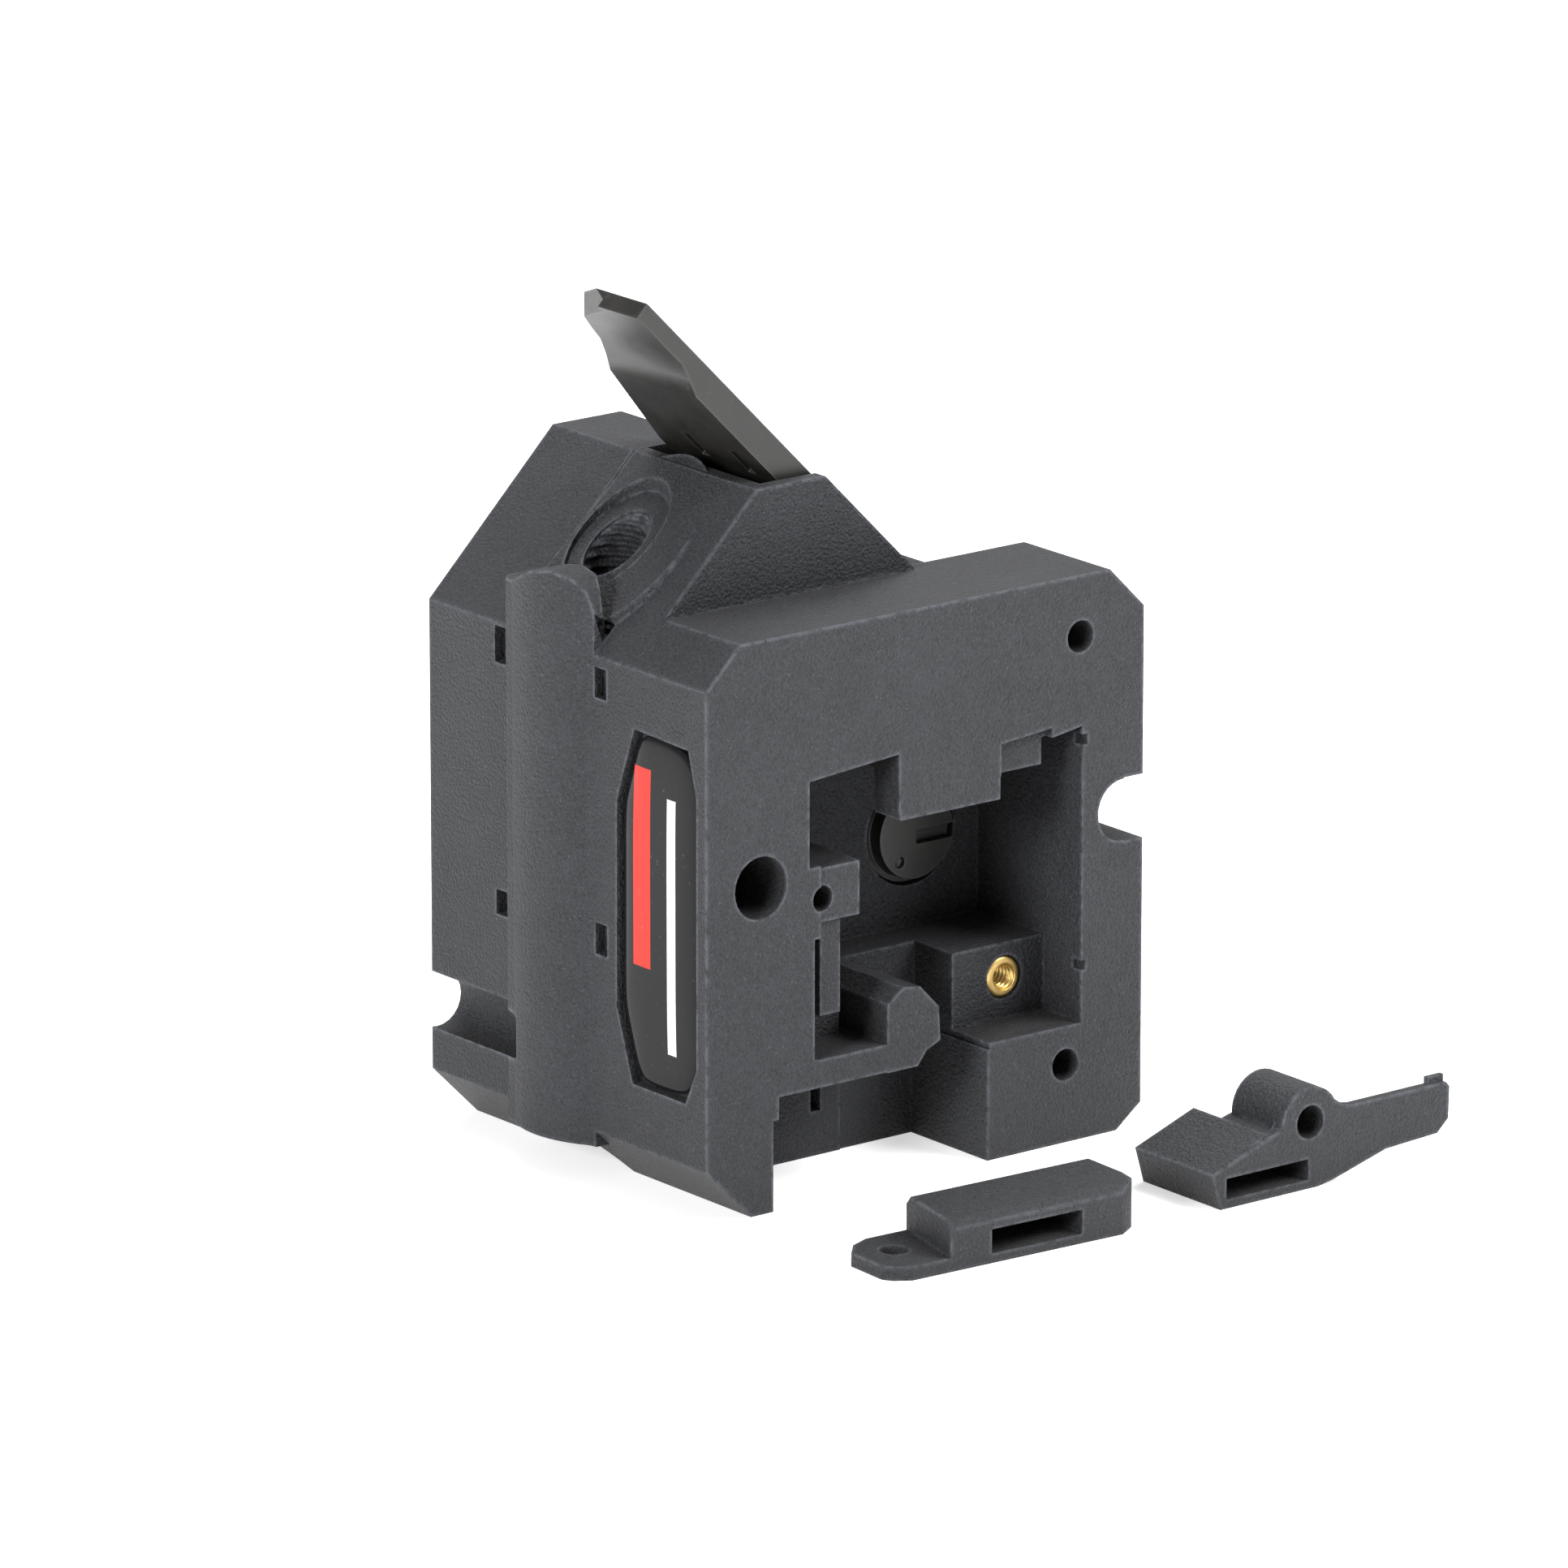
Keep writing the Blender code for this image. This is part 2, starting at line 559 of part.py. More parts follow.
def preload_cam():
    """Slotted turning knob in the window, its bearing collar, the lobe and a rear journal."""
    cam = rod("Y", CAM, 4.25, 14.0, 16.0, 40)
    add(cam, rod("Y", CAM, 4.85, 15.5, 16.8, 40), rod("Y", CAM, 4.0, 16.2, 17.8, 32), cam_lobe(),
        rod("Y", CAM, 3.0, 21.5, 30.6, 24))
    cut(cam, box((35.0, 40.2), (13.0, 14.9), (26.15, 27.45)),
        rod("Y", (CAM[0] - 1.9, CAM[1] - 2.4), 0.55, 13.0, 14.5, 8))
    return finish(cam, "preload_cam", moulded("moulded_cam"), (CAM[0], 20.0, CAM[1]))


def spring_plunger():
    foot = box((31.8, 39.4), (17.4, 22.6), (32.35, 34.1))
    add(foot, rod("Z", SPRING, 1.5, 33.5, 38.0, 20))
    return finish(foot, "spring_plunger", moulded("moulded_plunger"), (35.6, 20.0, 34.1))


def idler_spring():
    """Compression spring as one swept wire."""
    coil, wire, base, top, turns = 2.3, 0.36, 34.55, 43.9, 5
    around, ring = 12 * turns, 6
    bm = bmesh.new()
    rings = []
    for i in range(around + 1):
        angle = math.tau * turns * i / around
        rise = base + (top - base) * i / around
        out = Vector((math.cos(angle), math.sin(angle), 0.0))
        centre = Vector((SPRING[0], SPRING[1], rise)) + out * coil - ORIGIN
        loop = []
        for k in range(ring):
            spin = math.tau * k / ring
            loop.append(bm.verts.new(centre + out * wire * math.cos(spin)
                                     + Vector((0.0, 0.0, wire * math.sin(spin)))))
        rings.append(loop)
    for here, there in zip(rings, rings[1:]):
        for k in range(ring):
            j = (k + 1) % ring
            bm.faces.new((here[k], here[j], there[j], there[k]))
    bm.faces.new(rings[0])
    bm.faces.new(list(reversed(rings[-1])))
    spring = make_object("spring", bm)
    return finish(spring, "idler_spring", steel("spring_steel"), (35.6, 20.0, 34.1), 70.0)


def shell_screw(index, spot):
    screw = rod("Y", spot, 1.4, 20.0, 38.5, 16)
    add(screw, rod("Y", spot, 2.7, 38.3, 40.7, 24))
    cut(screw, rod("Y", spot, 1.45, 39.2, 42.0, 6))
    dark = material("screw_steel_%d" % index, (0.04, 0.04, 0.045), 1.0, 0.35)
    return finish(screw, "shell_screw_%d" % index, dark)


def turned_about_corner(node, corner, angle):
    spot = (Vector((corner[0], corner[1], 0.0)) - ORIGIN) * MM
    node.data.transform(Matrix.Translation(spot) @ Matrix.Rotation(angle, 4, "Z")
                        @ Matrix.Translation((ORIGIN * MM)))


def magnet_holder():
    """Bar with a magnet slot, bevelled upper edges and a thin screw tab."""
    plan = [(10.2, 0.0), (29.1, 0.0), (31.0, 1.3), (31.35, 3.2), (31.3, 9.1), (11.9, 9.1)]
    side = [(0.0, 0.0), (9.1, 0.0), (9.1, 3.7), (8.2, 4.6), (0.9, 4.6), (0.0, 3.9)]
    bar = prism("Z", plan, 0.0, 6.0)
    keep(bar, prism("X", side, 5.0, 40.0))
    tab = prism("Z", [(6.1, 0.0), (13.0, 0.0), (13.0, 9.0), (7.4, 9.0), (5.4, 8.1), (4.0, 6.4),
                      (4.0, 1.8), (4.6, 0.9)], 0.0, 1.3)
    add(bar, tab)
    cut(bar, rod("Z", (7.6, 4.9), 1.35, -1.0, 3.0, 24), box((14.7, 24.6), (-1.0, 8.0), (0.9, 3.15)))
    turned_about_corner(bar, HOLDER_CORNER, HOLDER_TURN)
    return finish(bar, "magnet_holder", nylon("nylon_holder"), (16.0, -19.0, 0.0))


def sensor_lever():
    """Small rocker: wedge base with a magnet slot, pivot boss and a thin flag arm."""
    boss, radius = (49.7, 6.25), 3.3
    flag = [(39.3, 0.0), (50.6, 0.0), (52.8, 0.4), (54.8, 0.95), (58.7, 2.0), (64.8, 2.3),
            (66.1, 3.5), (66.2, 6.5), (65.8, 6.95), (54.8, 6.9), (53.6, 7.15), (52.7, 7.8)]
    flag += arc(boss, radius, 25.0, 172.0, 10)
    flag += [(45.9, 5.95), (44.8, 5.6), (38.3, 3.4)]
    lever = prism("Y", flag, LEVER_FRONT, LEVER_FRONT + 1.05)
    base = prism("Y", [(39.3, 0.0), (50.6, 0.0), (51.4, 2.4), (45.9, 3.2), (45.1, 5.84),
                       (38.3, 3.4)], LEVER_FRONT + 0.5, -13.4)
    barrel = rod("Y", boss, radius, LEVER_FRONT + 0.6, -17.2, 32)
    root = prism("Y", [(44.5, 0.8), (50.4, 0.8), (52.9, 5.4), (49.0, 6.5), (46.0, 5.9),
                       (44.2, 5.35)], LEVER_FRONT + 0.4, -17.0)
    lip = box((64.0, 65.9), (LEVER_FRONT + 0.55, LEVER_FRONT + 1.05), (6.5, 7.6))
    add(lever, base, barrel, root, lip)
    cut(lever, rod("Y", boss, 1.55, -30.0, -10.0, 28),
        box((39.95, 49.55), (-30.0, -15.0), (0.85, 2.8)))
    return finish(lever, "sensor_lever", nylon("nylon_sensor"), (45.0, -19.0, 0.0))


def build():
    clear_scene()
    front_shell()
    rear_shell()
    side_badge()
    threaded_insert()
    outlet_tube()
    ball_bearing(DRIVE, 16.45, 18.35, "drive_bearing_front")
    ball_bearing(DRIVE, 34.1, 36.0, "drive_bearing_rear")
    ball_bearing(PINION, 26.2, 28.2, "pinion_bearing")
    lever_pivot_pin()
    for index, spot in enumerate(SCREWS, start=1):
        shell_screw(index, spot)
    thumb_lever()
    idler_axle()
    idler_bush()
    idler_gear()
    drive_shaft()
    drive_gear()
    drive_gear_set_screw()
    large_gear()
    input_pinion()
    preload_cam()
    spring_plunger()
    idler_spring()
    sensor_lever()
    magnet_holder()


build()
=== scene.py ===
"""Finished look of a geared filament extruder: grained nylon housing, moulded thumb lever,
cut threads, a domed badge, steel gear train and a soft white studio."""
import math

import bmesh
import bpy
import numpy as np
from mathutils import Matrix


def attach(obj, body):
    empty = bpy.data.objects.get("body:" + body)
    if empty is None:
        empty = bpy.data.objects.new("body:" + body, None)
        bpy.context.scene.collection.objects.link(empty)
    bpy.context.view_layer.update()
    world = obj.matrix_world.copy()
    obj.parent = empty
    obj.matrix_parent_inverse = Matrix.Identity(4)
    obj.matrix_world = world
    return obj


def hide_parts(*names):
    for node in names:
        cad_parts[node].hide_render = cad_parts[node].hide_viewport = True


bl_info = {
    "name": "Filament Extruder Finish",
    "version": (1, 0, 0),
    "blender": (4, 5, 0),
    "location": "View3D > Sidebar > Extruder",
    "description": "Builds the threads, badge, finishes and studio of a geared extruder",
    "category": "Object",
}

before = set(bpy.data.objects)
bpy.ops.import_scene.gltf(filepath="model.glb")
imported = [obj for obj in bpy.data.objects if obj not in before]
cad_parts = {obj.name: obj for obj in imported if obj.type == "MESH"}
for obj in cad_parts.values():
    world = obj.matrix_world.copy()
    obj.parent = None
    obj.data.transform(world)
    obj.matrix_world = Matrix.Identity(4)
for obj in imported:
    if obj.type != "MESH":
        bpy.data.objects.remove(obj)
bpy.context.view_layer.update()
MM = 0.001
CORNER = np.array([-25.0, -20.0, 0.0])

INLET_CENTRE = (8.0, 23.35)
INLET_RADIUS = 3.0
LIP_SLOPE, LIP_HEIGHT = 0.807, 50.2
INSERT_CENTRE = (38.4, 14.9)
JOIN_DISTANCE = 0.000002
FLAT_ANGLE, EDGE_ANGLE = 0.4, 40.0
CAMERA_PLACE = (-0.7040, -0.8978, 0.3565)
CAMERA_TURN, CAMERA_RISE, CAMERA_LENS = -38.077, 15.867, 300.5

NYLON_NODES = ("front_shell", "rear_shell", "magnet_holder", "sensor_lever")
MOULDED_NODES = ("thumb_lever", "preload_cam", "spring_plunger")
STEEL_NODES = ("drive_gear", "idler_gear", "input_pinion", "drive_shaft", "idler_axle",
               "lever_pivot_pin", "idler_spring", "drive_bearing_front", "drive_bearing_rear",
               "pinion_bearing")
BLACK_STEEL_NODES = ("shell_screw_1", "shell_screw_2", "shell_screw_3", "shell_screw_4",
                     "drive_gear_set_screw")


# ---------------------------------------------------------------- shader expressions

class Tree:
    """One material's nodes, with a short way to make any of them."""

    def __init__(self, name):
        self.material = bpy.data.materials.new(name)
        self.material.use_nodes = True
        self.nodes = self.material.node_tree.nodes
        self.links = self.material.node_tree.links
        self.shader = self.nodes["Principled BSDF"]

    def node(self, kind, settings=None, inputs=None, output=0):
        """Makes a node, sets its properties, then its sockets, and returns one output."""
        made = self.nodes.new(kind)
        for key, value in (settings or {}).items():
            setattr(made, key, value)
        for key, value in (inputs or {}).items():
            self.feed(made.inputs[key], value)
        return Wire(self, made.outputs[output])

    def feed(self, socket, value):
        if isinstance(value, Wire):
            self.links.new(value.socket, socket)
        elif isinstance(value, (tuple, list)):
            socket.default_value = tuple(value) + ((1.0,) if socket.type == "RGBA" and len(value) == 3
                                                   else ())
        else:
            socket.default_value = value

    def place(self):
        """Object coordinates in metres."""
        return self.node("ShaderNodeTexCoord", output="Object")

    def noise(self, size, detail=4.0, rough=0.55):
        """Cloudy noise whose blotches are about size metres across."""
        return self.node("ShaderNodeTexNoise", None, {"Vector": self.place(), "Scale": 1.0 / size,
                                                      "Detail": detail, "Roughness": rough})

    def cells(self, size, feature="F1"):
        """Distance to scattered points about size metres apart."""
        return self.node("ShaderNodeTexVoronoi", {"feature": feature},
                         {"Vector": self.place(), "Scale": 1.0 / size}, "Distance")

    def ramp(self, value, low, high):
        """0 below low, 1 above high, smooth between."""
        return self.node("ShaderNodeMapRange", {"interpolation_type": "SMOOTHSTEP"},
                         {"Value": value, "From Min": low, "From Max": high})

    def mix(self, factor, first, second):
        """A colour between two colours."""
        return self.node("ShaderNodeMix", {"data_type": "RGBA"},
                         {"Factor": factor, 6: first, 7: second}, 2)

    def axis(self, letter):
        split = self.nodes.new("ShaderNodeSeparateXYZ")
        self.feed(split.inputs[0], self.place())
        return Wire(self, split.outputs[letter])

    def edge(self, radius):
        """Near 1 on sharp outer and inner edges, 0 on flat faces."""
        soft = self.node("ShaderNodeBevel", {"samples": 4}, {"Radius": radius})
        true = self.node("ShaderNodeNewGeometry", output="Normal")
        facing = self.node("ShaderNodeVectorMath", {"operation": "DOT_PRODUCT"},
                           {0: soft, 1: true}, "Value")
        return self.ramp(1.0 - facing, 0.006, 0.1)

    def recess_shade(self, reach):
        """Painted shade mask: 1 deep in a recess, 0 in the open, taken from ambient occlusion."""
        open_air = self.node("ShaderNodeAmbientOcclusion", {"samples": 6}, {"Distance": reach},
                             "AO")
        return 1.0 - self.ramp(open_air, 0.2, 0.85)

    def bump(self, height, depth, strength=1.0):
        """A normal raised by height times depth metres."""
        return self.node("ShaderNodeBump", None, {"Height": height, "Distance": depth,
                                                  "Strength": strength})

    def surface(self, **values):
        """Sets the shader's sockets; underscores in a name stand for spaces."""
        for key, value in values.items():
            self.feed(self.shader.inputs[key.replace("_", " ")], value)
        return self.material


class Wire:
    """A socket that takes part in arithmetic."""

    def __init__(self, tree, socket):
        self.tree, self.socket = tree, socket

    def calc(self, operation, first, second=0.0):
        return self.tree.node("ShaderNodeMath", {"operation": operation}, {0: first, 1: second})

    def __add__(self, other):
        return self.calc("ADD", self, other)

    def __radd__(self, other):
        return self.calc("ADD", other, self)

    def __sub__(self, other):
        return self.calc("SUBTRACT", self, other)

    def __rsub__(self, other):
        return self.calc("SUBTRACT", other, self)

    def __mul__(self, other):
        return self.calc("MULTIPLY", self, other)

    def __rmul__(self, other):
        return self.calc("MULTIPLY", other, self)

    def top(self, other):
        return self.calc("MAXIMUM", self, other)

    def low(self, other):
        return self.calc("MINIMUM", self, other)

    def size(self):
        return self.calc("ABSOLUTE", self)


# ---------------------------------------------------------------- finishes

def nylon_finish(name, tint, grain):
    """Dyed sintered nylon: sugary grain, soft mottling, pale dust and wear on the edges mixed with a
    painted edge highlight, and painted shade darkening the recesses.
    """
    t = Tree(name)
    mottle = t.noise(0.0021, 3.0)
    cloud = t.noise(0.011, 2.0)
    fine = t.noise(grain * 0.62, 3.0, 0.62)
    beads = t.cells(grain)
    speck = t.ramp(t.cells(0.0005), 0.2, 0.06) * t.ramp(t.noise(0.0014), 0.4, 0.58)
    # pale edges: partly dust and wear, partly a painted highlight along the edges
    edge_wear_and_highlight = t.edge(0.0006) * t.ramp(t.noise(0.0009, 3.0), 0.3, 0.6)
    shade = 0.72 + mottle * 0.3 + (cloud - 0.5) * 0.35
    dark = tuple(c * 0.4 for c in tint)
    light = tuple(c * 1.7 for c in tint)
    pale = tuple(min(1.0, c * 8.0) for c in tint)
    colour = t.mix(t.ramp(shade + (fine - 0.5) * 2.2, 0.35, 1.3), dark, light)
    colour = t.mix((speck * 0.45).top(edge_wear_and_highlight * 0.6), colour, pale)
    # painted shade: recesses darken towards a near-black copy of the tint
    colour = t.mix(t.recess_shade(0.012) * 0.75, colour, tuple(c * 0.12 for c in tint))
    height = (1.0 - beads) * 0.6 + fine * 0.9 + mottle * 0.35
    return t.surface(Base_Color=colour, Roughness=0.6 + (fine - 0.5) * 0.3,
                     Normal=t.bump(height, 0.0002, 1.0), Sheen_Weight=0.05,
                     Sheen_Roughness=0.4, Specular_IOR_Level=0.4)


def moulded_finish(name, tint):
    """Satin injection moulding: faint flow ripple, handling marks, burnished edges."""
    t = Tree(name)
    flow = t.noise(0.0035, 2.0)
    skin = t.noise(0.00017, 2.0)
    scuff = t.ramp(t.noise(0.0008, 5.0, 0.7), 0.6, 0.72)
    colour = t.mix(t.ramp(flow, 0.3, 0.75), tint, tuple(c * 1.5 for c in tint))
    colour = t.mix((t.edge(0.00035) * 0.35).top(scuff * 0.14), colour, (0.12, 0.115, 0.11))
    return t.surface(Base_Color=colour, Roughness=0.33 + flow * 0.12 + scuff * 0.14,
                     Normal=t.bump(flow * 0.5 + skin * 0.16, 0.00006, 0.6),
                     Specular_IOR_Level=0.55)


def metal_finish(name, tint, rough, ring=0.00022):
    """Turned or ground metal with fine rings, a light stain and brighter edges."""
    t = Tree(name)
    ring_marks = t.noise(ring, 2.0)
    stain = t.noise(0.0028, 3.0)
    bright = t.edge(0.00022)
    colour = t.mix(t.ramp(stain, 0.3, 0.75), tuple(c * 0.78 for c in tint), tint)
    colour = t.mix(bright * 0.4, colour, tuple(min(1.0, c * 1.25) for c in tint))
    return t.surface(Base_Color=colour, Metallic=1.0, Roughness=rough + stain * 0.16,
                     Normal=t.bump(ring_marks, 0.000012, 0.5))


def gear_plastic_finish(name):
    t = Tree(name)
    milky = t.noise(0.0022, 3.0)
    speck = t.ramp(t.noise(0.0004, 4.0), 0.62, 0.72)
    colour = t.mix(milky, (0.62, 0.6, 0.55), (0.78, 0.77, 0.72))
    colour = t.mix(speck * 0.25, colour, (0.42, 0.4, 0.36))
    return t.surface(Base_Color=colour, Roughness=0.42 + milky * 0.14,
                     Normal=t.bump(milky + speck * 0.3, 0.00004, 0.5))


def tube_finish(name):
    t = Tree(name)
    cloud = t.noise(0.0018, 3.0)
    colour = t.mix(cloud, (0.7, 0.7, 0.68), (0.86, 0.86, 0.84))
    return t.surface(Base_Color=colour, Roughness=0.34 + cloud * 0.12,
                     Normal=t.bump(cloud, 0.00003, 0.4))


def badge_finish(name, ground, first, second):
    """Black enamel under clear resin, with two plain stripes of unlike length."""
    t = Tree(name)
    across = t.axis("Y")
    along = t.axis("Z")

    def stripe(centre_y, centre_z, half_width, half_length):
        inside_y = half_width - (across - centre_y).size()
        inside_z = half_length - (along - centre_z).size()
        return t.ramp(inside_y.low(inside_z), -0.00006, 0.00006)

    left = stripe(-0.0104, 0.0312, 0.00125, 0.0092)
    right = stripe(-0.0147, 0.0265, 0.0006, 0.0118)
    dust = t.ramp(t.noise(0.0006, 3.0), 0.66, 0.75)
    colour = t.mix(left, ground, first)
    colour = t.mix(right, colour, second)
    colour = t.mix(dust * 0.12, colour, (0.25, 0.25, 0.26))
    return t.surface(Base_Color=colour, Roughness=0.07 + dust * 0.1, Coat_Weight=0.06,
                     Coat_Roughness=0.03, Specular_IOR_Level=0.12,
                     Normal=t.bump(t.noise(0.004, 1.0), 0.00003, 0.3))


def studio_finish(name):
    t = Tree(name)
    paper = t.noise(0.02, 2.0)
    colour = t.mix(paper, (0.9, 0.9, 0.905), (0.93, 0.93, 0.93))
    return t.surface(Base_Color=colour, Roughness=0.8, Specular_IOR_Level=0.1,
                     Emission_Color=(1.0, 1.0, 1.0), Emission_Strength=0.55)


# ---------------------------------------------------------------- surfaces

def grid_object(name, points, wrap_u, wrap_v, smooth=True):
    """A mesh from an array of points (u, v, 3) in corner millimetres, closed where asked."""
    nu, nv = points.shape[:2]
    u = np.arange(nu if wrap_u else nu - 1)
    v = np.arange(nv if wrap_v else nv - 1)
    uu, vv = np.meshgrid(u, v, indexing="ij")
    un, vn = (uu + 1) % nu, (vv + 1) % nv
    quads = np.stack([uu * nv + vv, un * nv + vv, un * nv + vn, uu * nv + vn], -1).reshape(-1, 4)
    return mesh_object(name, ((points + CORNER) * MM).reshape(-1, 3), quads, smooth)


def mesh_object(name, verts, faces, smooth=True):
    mesh = bpy.data.meshes.new(name)
    mesh.from_pydata(verts.tolist(), [], faces.tolist())
    mesh.validate()
    mesh.polygons.foreach_set("use_smooth", np.full(len(mesh.polygons), smooth))
    made = bpy.data.objects.new(name, mesh)
    bpy.context.scene.collection.objects.link(made)
    return made


def thread_ring(name, centre, root, crest, outer, pitch, bottom, top, turned_to_y=False):
    """A threaded sleeve. Angle a runs round and s runs once round the wall's section. On the
    inner wall the height is bottom + s(top(a) - bottom) and the radius swings between crest and
    root as a rounded triangle of height / pitch - a / 2 pi; the outer wall is a plain cylinder."""
    around, up = 96, 132
    a = np.linspace(0.0, math.tau, around, endpoint=False)[:, None]
    s = np.linspace(0.0, 1.0, up)[None, :]
    ceiling = top(a)
    height = bottom + s * (ceiling - bottom)
    phase = height / pitch - a / math.tau
    wave = np.abs(2.0 * (phase - np.floor(phase)) - 1.0)
    wave = np.clip((wave - 0.14) / 0.72, 0.0, 1.0)
    wave = wave * wave * (3.0 - 2.0 * wave)
    run_out = np.clip((ceiling - height) / (pitch * 0.8), 0.0, 1.0)
    radius = root - (root - crest) * wave * run_out
    back = np.linspace(1.0, 0.0, 6)[None, :]
    height = np.concatenate([height, bottom + back * (ceiling - bottom)], 1)
    radius = np.concatenate([radius, np.full((around, 6), outer)], 1)
    x = centre[0] + radius * np.cos(a)
    other = centre[1] + radius * np.sin(a)
    if turned_to_y:
        points = np.stack([x, height, other], -1)
    else:
        points = np.stack([x, other, height], -1)[::-1]
    return grid_object(name, points, True, True)


def rounded_outline(corners, count, soften):
    """A closed outline sampled evenly along its length, then smoothed by averaging neighbours."""
    ring = np.array(corners + [corners[0]])
    steps = np.concatenate([[0.0], np.cumsum(np.hypot(*np.diff(ring, axis=0).T))])
    where = np.linspace(0.0, steps[-1], count, endpoint=False)
    line = np.stack([np.interp(where, steps, ring[:, k]) for k in (0, 1)], -1)
    for _ in range(soften):
        line = (np.roll(line, 1, 0) + line * 2.0 + np.roll(line, -1, 0)) / 4.0
    return line


def dome_plate(name, corners, base, rim, crown):
    """A pillow: rings shrink from the outline to its middle, and the face rises from rim to
    crown as the square root of 1 minus the ring's size to the fourth; the back is flat."""
    line = rounded_outline(corners, 120, 8)
    middle = line.mean(0)
    share = np.concatenate([[0.02, 1.0, 1.0], np.cos(np.linspace(0.0, math.pi / 2 * 0.985, 16))])
    face = rim + (crown - rim) * np.sqrt(np.clip(1.0 - share ** 4, 0.0, 1.0))
    face[0] = base
    face[1] = base
    face[2] = (base + rim) / 2
    yz = middle + (line - middle)[None, :, :] * share[:, None, None]
    x = np.repeat(face[:, None], line.shape[0], 1)
    points = np.concatenate([x[..., None], yz], -1)
    made = grid_object(name, points, False, True)
    mesh = made.data
    count = line.shape[0]
    bm = bmesh.new()
    bm.from_mesh(mesh)
    bmesh.ops.holes_fill(bm, edges=[e for e in bm.edges if e.is_boundary], sides=count + 1)
    bmesh.ops.recalc_face_normals(bm, faces=bm.faces)
    bm.to_mesh(mesh)
    bm.free()
    return made


def paint(names, finish):
    for name in names:
        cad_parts[name].material_slots[0].material = finish


def smooth_faces_group():
    """A geometry node group that shades every face smooth; the stored mesh isn't touched."""
    group = bpy.data.node_groups.get("smooth_faces")
    if group is None:
        group = bpy.data.node_groups.new("smooth_faces", "GeometryNodeTree")
        for way in ("INPUT", "OUTPUT"):
            group.interface.new_socket("Geometry", in_out=way, socket_type="NodeSocketGeometry")
        start = group.nodes.new("NodeGroupInput")
        shade = group.nodes.new("GeometryNodeSetShadeSmooth")
        end = group.nodes.new("NodeGroupOutput")
        group.links.new(start.outputs[0], shade.inputs["Geometry"])
        group.links.new(shade.outputs[0], end.inputs[0])
    return group


def soften_edges(name, width, segments=2, angle=EDGE_ANGLE):
    """Joins a node's loose triangles and rounds its sharp edges, all in modifiers."""
    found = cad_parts[name]
    found.modifiers.new("smooth", "NODES").node_group = smooth_faces_group()
    weld = found.modifiers.new("join", "WELD")
    weld.merge_threshold = JOIN_DISTANCE
    flat = found.modifiers.new("flatten", "DECIMATE")
    flat.decimate_type = "DISSOLVE"
    flat.angle_limit = math.radians(FLAT_ANGLE)
    bevel = found.modifiers.new("round", "BEVEL")
    bevel.width = width
    bevel.segments = segments
    bevel.limit_method = "ANGLE"
    bevel.angle_limit = math.radians(angle)
    bevel.use_clamp_overlap = True
    bevel.harden_normals = False
    shade = found.modifiers.new("shade", "WEIGHTED_NORMAL")
    shade.keep_sharp = False
    shade.weight = 100


# ---------------------------------------------------------------- settings

class ExtruderSettings(bpy.types.PropertyGroup):
    """Sizes and colours that a user would change."""

    nylon_tint: bpy.props.FloatVectorProperty(
        name="Nylon colour", description="Colour of the sintered housing", subtype="COLOR",
        size=3, min=0.0, max=1.0, default=(0.0175, 0.0186, 0.0218))
    moulded_tint: bpy.props.FloatVectorProperty(
        name="Lever colour", description="Colour of the moulded lever and knob", subtype="COLOR",
        size=3, min=0.0, max=1.0, default=(0.012, 0.0115, 0.0105))
    brass_tint: bpy.props.FloatVectorProperty(
        name="Brass colour", description="Colour of the threaded insert", subtype="COLOR",
        size=3, min=0.0, max=1.0, default=(1.0, 0.7, 0.26))
    badge_first: bpy.props.FloatVectorProperty(
        name="First stripe", description="Colour of the badge's wide stripe", subtype="COLOR",
        size=3, min=0.0, max=1.0, default=(0.66, 0.03, 0.02))
    badge_second: bpy.props.FloatVectorProperty(
        name="Second stripe", description="Colour of the badge's thin stripe", subtype="COLOR",
        size=3, min=0.0, max=1.0, default=(0.75, 0.75, 0.76))
    grain: bpy.props.FloatProperty(
        name="Grain size", description="Size of the nylon's grain", subtype="DISTANCE",
        unit="LENGTH", default=0.00036, min=0.0001, max=0.001)
    edge_round: bpy.props.FloatProperty(
        name="Edge rounding", description="Rounding of the housing's edges", subtype="DISTANCE",
        unit="LENGTH", default=0.00032, min=0.0, max=0.001)
    inlet_pitch: bpy.props.FloatProperty(
        name="Inlet pitch", description="Pitch of the inlet thread", subtype="DISTANCE",
        unit="LENGTH", default=0.001, min=0.0003, max=0.002)
    insert_pitch: bpy.props.FloatProperty(
        name="Insert pitch", description="Pitch of the brass insert's thread",
        subtype="DISTANCE", unit="LENGTH", default=0.0005, min=0.0002, max=0.001)


def settings():
    return bpy.context.scene.extruder_settings


# ---------------------------------------------------------------- operators

class EXTRUDER_OT_housing(bpy.types.Operator):
    """Grained nylon for both shells and the two loose parts, with rounded edges"""
    bl_idname = "extruder.housing"
    bl_label = "Housing finish"

    def execute(self, context):
        s = settings()
        paint(NYLON_NODES, nylon_finish("sintered_nylon", tuple(s.nylon_tint), s.grain))
        for name in NYLON_NODES:
            soften_edges(name, s.edge_round)
        return {"FINISHED"}


class EXTRUDER_OT_mouldings(bpy.types.Operator):
    """Satin black for the thumb lever, the slotted knob and the plunger"""
    bl_idname = "extruder.mouldings"
    bl_label = "Moulded parts finish"

    def execute(self, context):
        paint(MOULDED_NODES, moulded_finish("moulded_black", tuple(settings().moulded_tint)))
        soften_edges("thumb_lever", 0.00045, 3)
        soften_edges("preload_cam", 0.00014)
        return {"FINISHED"}


